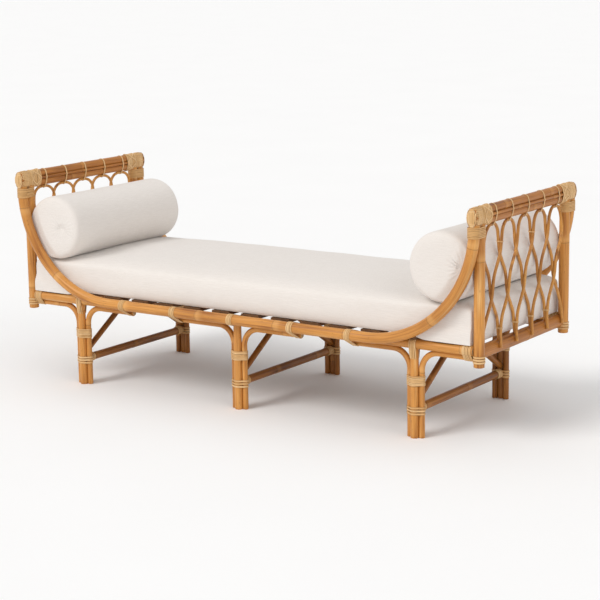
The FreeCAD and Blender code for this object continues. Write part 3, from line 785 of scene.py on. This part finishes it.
def make_top_corners():
    """Coils round the stacked rails, strips over the end, crossed strands and the neck wrap."""
    wraps = Strands(41)
    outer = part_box("top_corner_wraps")[1].y
    for _, e in ENDS:
        stack = top_stack(e)
        for _, side in SIDES:
            end_y = side * (outer - CAP_END_INSET)
            inner = outer - CAP_LENGTH
            step_y = side * (inner + CAP_COIL_L)
            wraps.coil(stack, "Y", *sorted((side * inner, step_y)), 9, thick=0.0020)
            wraps.coil(stack, "Y", *sorted((step_y, side * (outer - CAP_KNOB_INSET))), 7, thick=0.0016)
            back_y = side * (outer - CAP_STRIP_L)
            for k in range(FACE_STRIPS):
                rise = UPPER.z - LOWER.z + 2 * FACE_REACH
                z = LOWER.z - FACE_REACH + k * rise / (FACE_STRIPS - 1)
                w = half_width(z)
                corner = [Vector((e * END_X + x, y, z))
                          for x, y in ((-w, back_y), (-w, end_y), (w, end_y), (w, back_y))]
                over_the_end(wraps, corner, Vector((0, 0, 1)), 0.0003, FACE_STRIP_W)
            for k in range(OVER_STRIPS):
                across = (k - (OVER_STRIPS - 1) / 2) * OVER_PITCH
                rise = math.sqrt(TOP_R ** 2 - across ** 2)
                x = e * END_X + across
                corner = [Vector((x, y, z)) for y, z in ((back_y, LOWER.z - rise), (end_y, LOWER.z - rise),
                                                         (end_y, UPPER.z + rise), (back_y, UPPER.z + rise))]
                over_the_end(wraps, corner, Vector((1, 0, 0)), 0.0012, OVER_STRIP_W)
            crossed(wraps, stack, side, inner, inner + CAP_COIL_L)
            top = POST_TOP - 0.0006
            lean = BOW_RADIUS - math.sqrt(BOW_RADIUS ** 2 - (NECK_H + 0.003) ** 2)
            neck = [(e * END_X, side * abs(POST.y), POST_R)]
            neck += [(e * (END_X - shift), side * BOW_Y, BOW_R) for shift in (0.0, lean)]
            wraps.coil(neck, "Z", top - NECK_H * 0.8, top, 7, thick=0.0013, tone=0.05)
    wraps.finish("top_corner_peel_wraps", "top_corner_wraps")


def crossed(wraps, stack, side, low, high):
    """Two strands that cross as an X on each face of the coil."""
    loop, _ = outline(stack, 0.0016, 72)
    for way in (-1, 1):
        path, outward = [], []
        count = len(loop)
        for k in range(count):
            (u, v), out = loop[k], out_of(loop, k)
            wave = math.cos(2 * math.tau * k / count)
            y = (low + high) / 2 + way * wave * (high - low) * 0.40
            lift = 0.0009 if way > 0 else 0.0003
            path.append(Vector((u + out.x * lift, side * y, v + out.y * lift)))
            outward.append(Vector((out.x, 0.0, out.y)))
        wraps.ribbon(path, outward, CROSS_STRIP_W, CAP_STRIP_T, True, 0.9)


TIE_W, HIGH_TIE_W = 0.006, 0.004
LOW_TIE_RISE, HIGH_TIE_DROP = 0.038, 0.061


def make_ties():
    ties = Strands(51)
    edge = abs(POST.y) - POST_R - LATTICE_R - 0.0002
    pitch = 2 * edge / HAIRPINS
    apexes = [(k - (HAIRPINS - 1) / 2) * pitch for k in range(HAIRPINS)]
    row_low = END_RAIL.z + END_RAIL_R + LOW_TIE_RISE
    row_high = POST_TOP - LATTICE_R - HIGH_TIE_DROP
    for _, e in ENDS:
        stack = top_stack(e)
        for y in apexes:
            discs = stack + [(e * END_X, POST_TOP - LATTICE_R, LATTICE_R)]
            ties.coil(discs, "Y", *band(y, TIE_W), 1, 0.0062, thick=0.0015, tone=0.95)
        for k in range(HAIRPINS - 1):
            y = (apexes[k] + apexes[k + 1]) / 2
            discs = [(e * END_X + way * 0.0051, y, LATTICE_R + 0.0002) for way in (-1, 1)]
            ties.coil(discs, "Z", *band(row_low, TIE_W), 2, thick=0.0013, count=28, tone=0.6)
            if k % 2 == 0:
                ties.coil(discs, "Z", *band(row_high, HIGH_TIE_W), 1, thick=0.0012, count=28, tone=0.5)
    ties.finish("lattice_peel_ties", "lattice_ties")


# ------------------ cushions
def ease(value):
    value = max(0.0, min(1.0, value))
    return value * value * (3.0 - 2.0 * value)


def fitted(piece, low, high):
    """Stretch the piece so that its box is the one given."""
    points = [v.co for v in piece.data.vertices]
    for axis in range(3):
        least, most = min(p[axis] for p in points), max(p[axis] for p in points)
        scale = (high[axis] - low[axis]) / (most - least)
        for point in points:
            point[axis] = low[axis] + (point[axis] - least) * scale


def squared(value, start, limit):
    """Let a coordinate run freely to start, then ease it towards limit: a flat face with a tight corner."""
    size = abs(value)
    if size <= start:
        return value
    room = limit - start
    return math.copysign(start + room * math.tanh((size - start) / room), value)


def rounded_grid(half, centre, corner, foot, cells):
    """A closed block with rounded edges, wider at the top and sides than at the foot."""
    bm = bmesh.new()
    bmesh.ops.create_cube(bm, size=2.0)
    mesh = bpy.data.meshes.new("block")
    bmesh.ops.subdivide_edges(bm, edges=bm.edges[:], cuts=cells, use_grid_fill=True)
    for vertex in bm.verts:
        place = Vector([vertex.co[i] * half[i] for i in range(3)])
        edge = foot + (corner - foot) * ease((place.z + half.z) / half.z)
        core = Vector([max(-(half[i] - edge), min(half[i] - edge, place[i])) for i in range(3)])
        away = place - core
        if away.length > 1e-9:
            place = core + away.normalized() * min(away.length, edge)
        vertex.co = place + Vector(centre)
    bm.to_mesh(mesh)
    bm.free()
    return mesh


def settled(piece):
    """Make what the modifiers give the piece's own mesh."""
    mesh = bpy.data.meshes.new_from_object(piece.evaluated_get(bpy.context.evaluated_depsgraph_get()))
    piece.modifiers.clear()
    piece.data = mesh
    return mesh


def stuffed(piece, voxel, cap):
    """Blow the piece up as cloth, and limit how far each point goes."""
    remesh = piece.modifiers.new("skin", "REMESH")
    remesh.mode = "VOXEL"
    remesh.voxel_size = voxel
    bpy.context.view_layer.update()
    skin = settled(piece)
    rest = [v.co.copy() for v in skin.vertices]
    cloth = piece.modifiers.new("cloth", "CLOTH")
    settings = cloth.settings
    settings.quality = 4
    settings.mass = 0.3
    settings.use_pressure = True
    settings.uniform_pressure_force = CLOTH_PRESSURE
    settings.effector_weights.gravity = 0.0
    settings.bending_stiffness = 2.0
    cloth.point_cache.frame_start = 1
    cloth.point_cache.frame_end = CLOTH_FRAMES
    scene = bpy.context.scene
    for step in range(1, CLOTH_FRAMES + 1):
        scene.frame_set(step)
    posed = piece.evaluated_get(bpy.context.evaluated_depsgraph_get()).to_mesh()
    moved = [v.co.copy() for v in posed.vertices]
    piece.modifiers.clear()
    scene.frame_set(1)
    for vertex, start, end in zip(skin.vertices, rest, moved):
        step = end - start
        if step.length > 1e-9:
            vertex.co = start + step.normalized() * cap * (1.0 - math.exp(-step.length / cap))


def smoothed(piece):
    piece.modifiers.new("smooth", "SUBSURF").levels = 1
    piece.modifiers["smooth"].render_levels = 1
    mesh = settled(piece)
    mesh.materials.clear()
    mesh.materials.append(COTTON)
    mesh.polygons.foreach_set("use_smooth", [True] * len(mesh.polygons))


MATTRESS_LOW, MATTRESS_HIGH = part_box("mattress_cover")
BOLSTER_LOW, BOLSTER_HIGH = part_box("right_bolster_cover")
BOLSTER = (BOLSTER_LOW + BOLSTER_HIGH) / 2
BOLSTER_R = (BOLSTER_HIGH.z - BOLSTER_LOW.z) / 2
BOLSTER_HALF = (BOLSTER_HIGH.y - BOLSTER_LOW.y) / 2
CLOTH_PRESSURE = 4.0
CLOTH_FRAMES = 20
CLOTH_CAP = 0.009
SHRINK = 0.006
LATTICE_X = END_X - 2 * LATTICE_R - 0.0002
PRESSED = 0.0012
SLAT_END_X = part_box("seat_slats")[1].x
BOLSTER_SHIFT = LATTICE_X - 0.001 - BOLSTER_R - BOLSTER.x
BOLSTER_SINK = 0.003
DECK_GAP = 0.0004
MATTRESS_EDGE, FOOT_EDGE = 0.028, 0.012
BOLSTER_EDGE = 0.040
BULGE_EDGE = 0.05
CROWN, SIDE_BULGE = 0.023, 0.009
OPEN_SIDE_X, OPEN_SIDE_EASE = 0.54, 0.14
BETWEEN_POSTS_Y = 0.262
HEM_SHARE, HEM_DROP = 0.22, 0.0115
OUTER_BAY_X, OUTER_BAY_EASE = 0.650, 0.085
PLEATS = 22
PUCKER, PUCKER_R = 0.008, 0.012


def make_mattress():
    half = (MATTRESS_HIGH - MATTRESS_LOW) / 2 - Vector((SHRINK, SHRINK, SHRINK))
    centre = (MATTRESS_LOW + MATTRESS_HIGH) / 2
    piece = placed("mattress_cushion", rounded_grid(half, centre, MATTRESS_EDGE, FOOT_EDGE, 40))
    stuffed(piece, 0.009, CLOTH_CAP)
    smoothed(piece)
    over = Vector((0.012, 0.010, 0.0))
    fitted(piece, MATTRESS_LOW + Vector((0, 0, DECK_GAP)) - over, MATTRESS_HIGH + over)
    for vertex, normal in zip(piece.data.vertices, [v.normal.copy() for v in piece.data.vertices]):
        place = vertex.co
        place.x = squared(place.x, MATTRESS_HIGH.x - 0.018, MATTRESS_HIGH.x + 0.002)
        place.y = squared(place.y, MATTRESS_HIGH.y - 0.016, MATTRESS_HIGH.y + 0.001)
        place.z -= (place.z - MATTRESS_LOW.z - DECK_GAP) * ease((-normal.z - 0.05) / 0.5)
    end_bulge = LATTICE_X - 0.0012 - MATTRESS_HIGH.x
    height = MATTRESS_HIGH.z - MATTRESS_LOW.z
    for vertex in piece.data.vertices:
        place = vertex.co
        up = (place.z - MATTRESS_LOW.z) / height
        belly = math.sin(math.pi * max(0.0, min(1.0, up))) ** 0.7
        across = max(0.0, 1.0 - (place.y / MATTRESS_HIGH.y) ** 2)
        along = ease((BOLSTER.x - 0.03 - abs(place.x + 0.06)) / 0.34)
        soft = noise.noise(Vector((place.x * 2.7, place.y * 3.7, place.z * 2.0)))
        ripple = noise.noise(Vector((place.x * 8.0 + 5.0, place.y * 13.0, place.z * 8.0)))
        upper = ease((up - 0.45) / 0.55)
        lift = CROWN * across ** 0.7 * (0.30 + 0.70 * along)
        place.z += upper * (lift + 0.003 * soft + 0.001 * ripple)
        out = ease((abs(place.y) - MATTRESS_HIGH.y + BULGE_EDGE) / BULGE_EDGE)
        crease = noise.noise(Vector((place.x * 4.0, 3.0 * math.copysign(1.0, place.y), place.z * 9.0)))
        open_side = ease((OPEN_SIDE_X - abs(place.x)) / OPEN_SIDE_EASE)
        place.y += math.copysign(out * belly * (SIDE_BULGE * open_side + 0.0022 * crease), place.y)
        out = ease((abs(place.x) - MATTRESS_HIGH.x + BULGE_EDGE) / BULGE_EDGE)
        between_posts = max(0.0, 1.0 - (place.y / BETWEEN_POSTS_Y) ** 4)
        place.x += math.copysign(out * belly * end_bulge * between_posts, place.x)
        for e in (-1, 1):
            dx = place.x - e * (BOLSTER.x + BOLSTER_SHIFT)
            dz = place.z - (BOLSTER.z - BOLSTER_SINK)
            room = BOLSTER_R + PRESSED
            away = math.hypot(dx, dz)
            if away < room and abs(place.y) < BOLSTER_HALF + 0.01:
                share = ease((BOLSTER_HALF + 0.01 - abs(place.y)) / 0.05)
                surface = BOLSTER.z - BOLSTER_SINK - math.sqrt(max(0.0, room ** 2 - dx ** 2))
                place.z += (surface - place.z) * share
        place.z = max(place.z, MATTRESS_LOW.z + DECK_GAP)
        hem = 1.0 - ease(up / HEM_SHARE)
        outer_bay = ease((abs(place.x) - OUTER_BAY_X) / OUTER_BAY_EASE) * ease((abs(place.y) - 0.284) / 0.008)
        flare = outer_bay * (1.0 - ease((up - 0.14) / 0.34))
        place.y += math.copysign(flare * (BOW_Y - BOW_R - 0.0008 - abs(place.y)), place.y)
        sag = max(hem * outer_bay, hem * ease((abs(place.x) - SLAT_END_X - 0.003) / 0.016))
        place.z -= sag * HEM_DROP
    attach(piece, "mattress")
    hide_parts("mattress_cover", "mattress_foam")


def bolster_blank(e, rings=48, around=96):
    """A drum with well-rounded ends, turned about the Y axis."""
    size, half, corner = BOLSTER_R - SHRINK, BOLSTER_HALF - SHRINK, BOLSTER_EDGE
    profile = [(half, size * share) for share in (0.08, 0.25, 0.42)]
    profile = [(y - 0.004 * (r / size), r) for y, r in profile if r < size - corner]
    for k in range(11):
        a = math.pi / 2 * k / 10
        profile.append((half - corner + corner * math.cos(a), size - corner + corner * math.sin(a)))
    straight = [(half - corner - (2 * (half - corner)) * k / rings, size) for k in range(1, rings)]
    profile = profile + straight + [(-y, r) for y, r in reversed(profile)]
    vertices = [(e * BOLSTER.x, half, BOLSTER.z)]
    for y, r in profile:
        for j in range(around):
            turn = math.tau * j / around
            vertices.append((e * BOLSTER.x + r * math.cos(turn), y, BOLSTER.z + r * math.sin(turn)))
    vertices.append((e * BOLSTER.x, -half, BOLSTER.z))
    faces = [(0, 1 + (j + 1) % around, 1 + j) for j in range(around)]
    faces += ring_faces(len(profile), around, 1)
    base = 1 + (len(profile) - 1) * around
    last = len(vertices) - 1
    faces += [(last, base + j, base + (j + 1) % around) for j in range(around)]
    mesh = bpy.data.meshes.new("drum")
    mesh.from_pydata(vertices, [], faces)
    mesh.update()
    return mesh


def make_bolster(end, e, seed, gather_x, gather_depth, front, rear):
    """Reaches from front to rear in Y; gather_x is how far towards +X the front gathers lie off centre."""
    rng = random.Random(seed)
    piece = placed(end + "_bolster_cushion", bolster_blank(e))
    stuffed(piece, 0.006, CLOTH_CAP)
    smoothed(piece)
    centre = Vector((e * (BOLSTER.x + BOLSTER_SHIFT - 0.003), (front + rear) / 2, BOLSTER.z - BOLSTER_SINK))
    half = (rear - front) / 2
    reach = Vector((BOLSTER_R + 0.004, half + 0.016, BOLSTER_R))
    fitted(piece, centre - reach, centre + reach)
    for vertex in piece.data.vertices:
        vertex.co.y = centre.y + squared(vertex.co.y - centre.y, half - 0.034, half)
    phases = {side: rng.uniform(0.0, math.tau) for side in (-1, 1)}
    depth = [rng.uniform(0.25, 1.0) for _ in range(PLEATS)]
    for vertex in piece.data.vertices:
        place = vertex.co
        side = 1 if place.y > centre.y else -1
        dx, dz = place.x - centre.x, place.z - centre.z
        r = math.hypot(dx, dz)
        gx, gz = dx - (gather_x if side < 0 else 0.0), dz
        g = math.hypot(gx, gz)
        turn = (math.atan2(gz, gx) + phases[side]) % math.tau
        endness = ease((abs(place.y - centre.y) - (half - 0.050)) / 0.045)
        fold = depth[int(turn / math.tau * PLEATS) % PLEATS]
        ridge = abs(math.sin(turn * PLEATS / 2))
        fade = ease((0.068 - g) / 0.050) * ease(g / 0.008)
        pucker = PUCKER * math.exp(-(g / PUCKER_R) ** 2)
        place.y -= side * endness * (gather_depth * fold * (1.0 - ridge) * fade + pucker)
        around = math.atan2(dz, dx)
        soft = noise.noise(Vector((place.x * 6.0 + seed, place.y * 4.0, place.z * 6.0)))
        ripple = noise.noise(Vector((math.cos(around) * 2.2, place.y * 20.0 + seed, math.sin(around) * 2.2)))
        if r > 1e-6:
            swell = (0.0022 * soft + 0.0009 * ripple * (0.4 + endness)) * ease(r / 0.05)
            place.x += dx / r * swell
            place.z += dz / r * swell
        near_bow = abs(math.hypot(place.x - e * BOW_FLAT_X, place.z - POST_TOP) - BOW_RADIUS)
        tuck = 1.0 - ease((near_bow - BOW_R - 0.004) / 0.030)
        beyond = max(0.0, abs(place.y) - (BOW_Y - BOW_R - 0.0008))
        place.y -= math.copysign(beyond * tuck, place.y)
        at_post = ease((abs(place.y) - 0.250) / 0.016)
        room = LATTICE_X - 0.0008 + (END_X - POST_R - LATTICE_X + 0.0002) * at_post
        place.x = max(-room, min(room, place.x))
    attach(piece, end + "_bolster")
    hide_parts(end + "_bolster_cover", end + "_bolster_fill")


# ------------------ stage, lights and camera
AZIMUTH, ELEVATION, ROLL = math.radians(34.35), math.radians(11.38), math.radians(-0.86)
DISTANCE = 6.145
TARGET = Vector((0.0207, 0.0499, 0.3135))
LENS = 106.64
CLIP_END = 400.0
SKY_STRENGTH = 0.68


def direction(azimuth, elevation):
    """The way to where the object is seen or lit from; azimuth 0 is straight in front."""
    return Vector((math.sin(azimuth) * math.cos(elevation), -math.cos(azimuth) * math.cos(elevation),
                   math.sin(elevation)))


def make_camera():
    back = direction(AZIMUTH, ELEVATION)
    data = bpy.data.cameras.new("camera")
    data.lens = LENS
    data.clip_end = CLIP_END
    camera = placed("camera", data)
    camera.location = TARGET + back * DISTANCE
    aim = back.to_track_quat("Z", "Y").to_matrix().to_4x4()
    camera.rotation_euler = (aim @ Matrix.Rotation(ROLL, 4, "Z")).to_euler()
    bpy.context.scene.camera = camera


def make_floor():
    n = Nodes("pale_floor")
    place = n.place()
    tint = n.noise(place, 1.5)
    colour = n.ramp(tint, [(0.3, (0.955, 0.955, 0.955)), (0.7, (0.965, 0.965, 0.965))])
    n.finish(colour, n.span(tint, 0.3, 0.7, 0.85, 0.9), n.bump(tint, 0.02, 0.001))
    half = FLOOR_SIZE / 2
    floor = mesh_object("floor", [(-half, -half, 0), (half, -half, 0), (half, half, 0), (-half, half, 0)],
                        [(0, 1, 2, 3)], [n.material])


def sun(name, azimuth, elevation, power, spread, colour=(1.0, 1.0, 1.0)):
    """A broad soft lamp; azimuth and elevation say where it shines from, as the camera's do."""
    data = bpy.data.lights.new(name, "SUN")
    data.energy = power
    data.angle = math.radians(spread)
    data.color = colour
    back = direction(math.radians(azimuth), math.radians(elevation))
    placed(name, data).rotation_euler = back.to_track_quat("Z", "Y").to_euler()


def make_light():
    world = bpy.data.worlds.new("studio")
    world.use_nodes = True
    sky = world.node_tree.nodes["Background"].inputs
    sky["Color"].default_value = (1.0, 1.0, 1.0, 1.0)
    sky["Strength"].default_value = SKY_STRENGTH
    bpy.context.scene.world = world
    sun("key", -22.0, 44.0, 1.30, 28.0, (1.0, 0.985, 0.965))
    sun("fill", 70.0, 30.0, 0.35, 40.0)
    view = bpy.context.scene.view_settings
    view.view_transform, view.look = "Standard", "None"


# ------------------ build
def dress(node, material):
    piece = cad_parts[node]
    piece.data.materials.clear()
    piece.data.materials.append(material)


for end_name, _ in ENDS:
    for k in range(HAIRPINS):
        dress("%s_lattice_rod_%d" % (end_name, k + 1), ROD_CANE)
dress("seat_slats", slat_material())
dress("slat_nails", nail_material())
make_poles()
make_leg_bindings()
make_rail_bindings()
make_lower_corners()
make_top_corners()
make_ties()
make_mattress()
make_bolster("left", -1, 61, 0.040, 0.0035, -0.317, 0.278)
make_bolster("right", 1, 62, 0.080, 0.0095, -0.316, 0.300)
make_floor()
make_light()
make_camera()
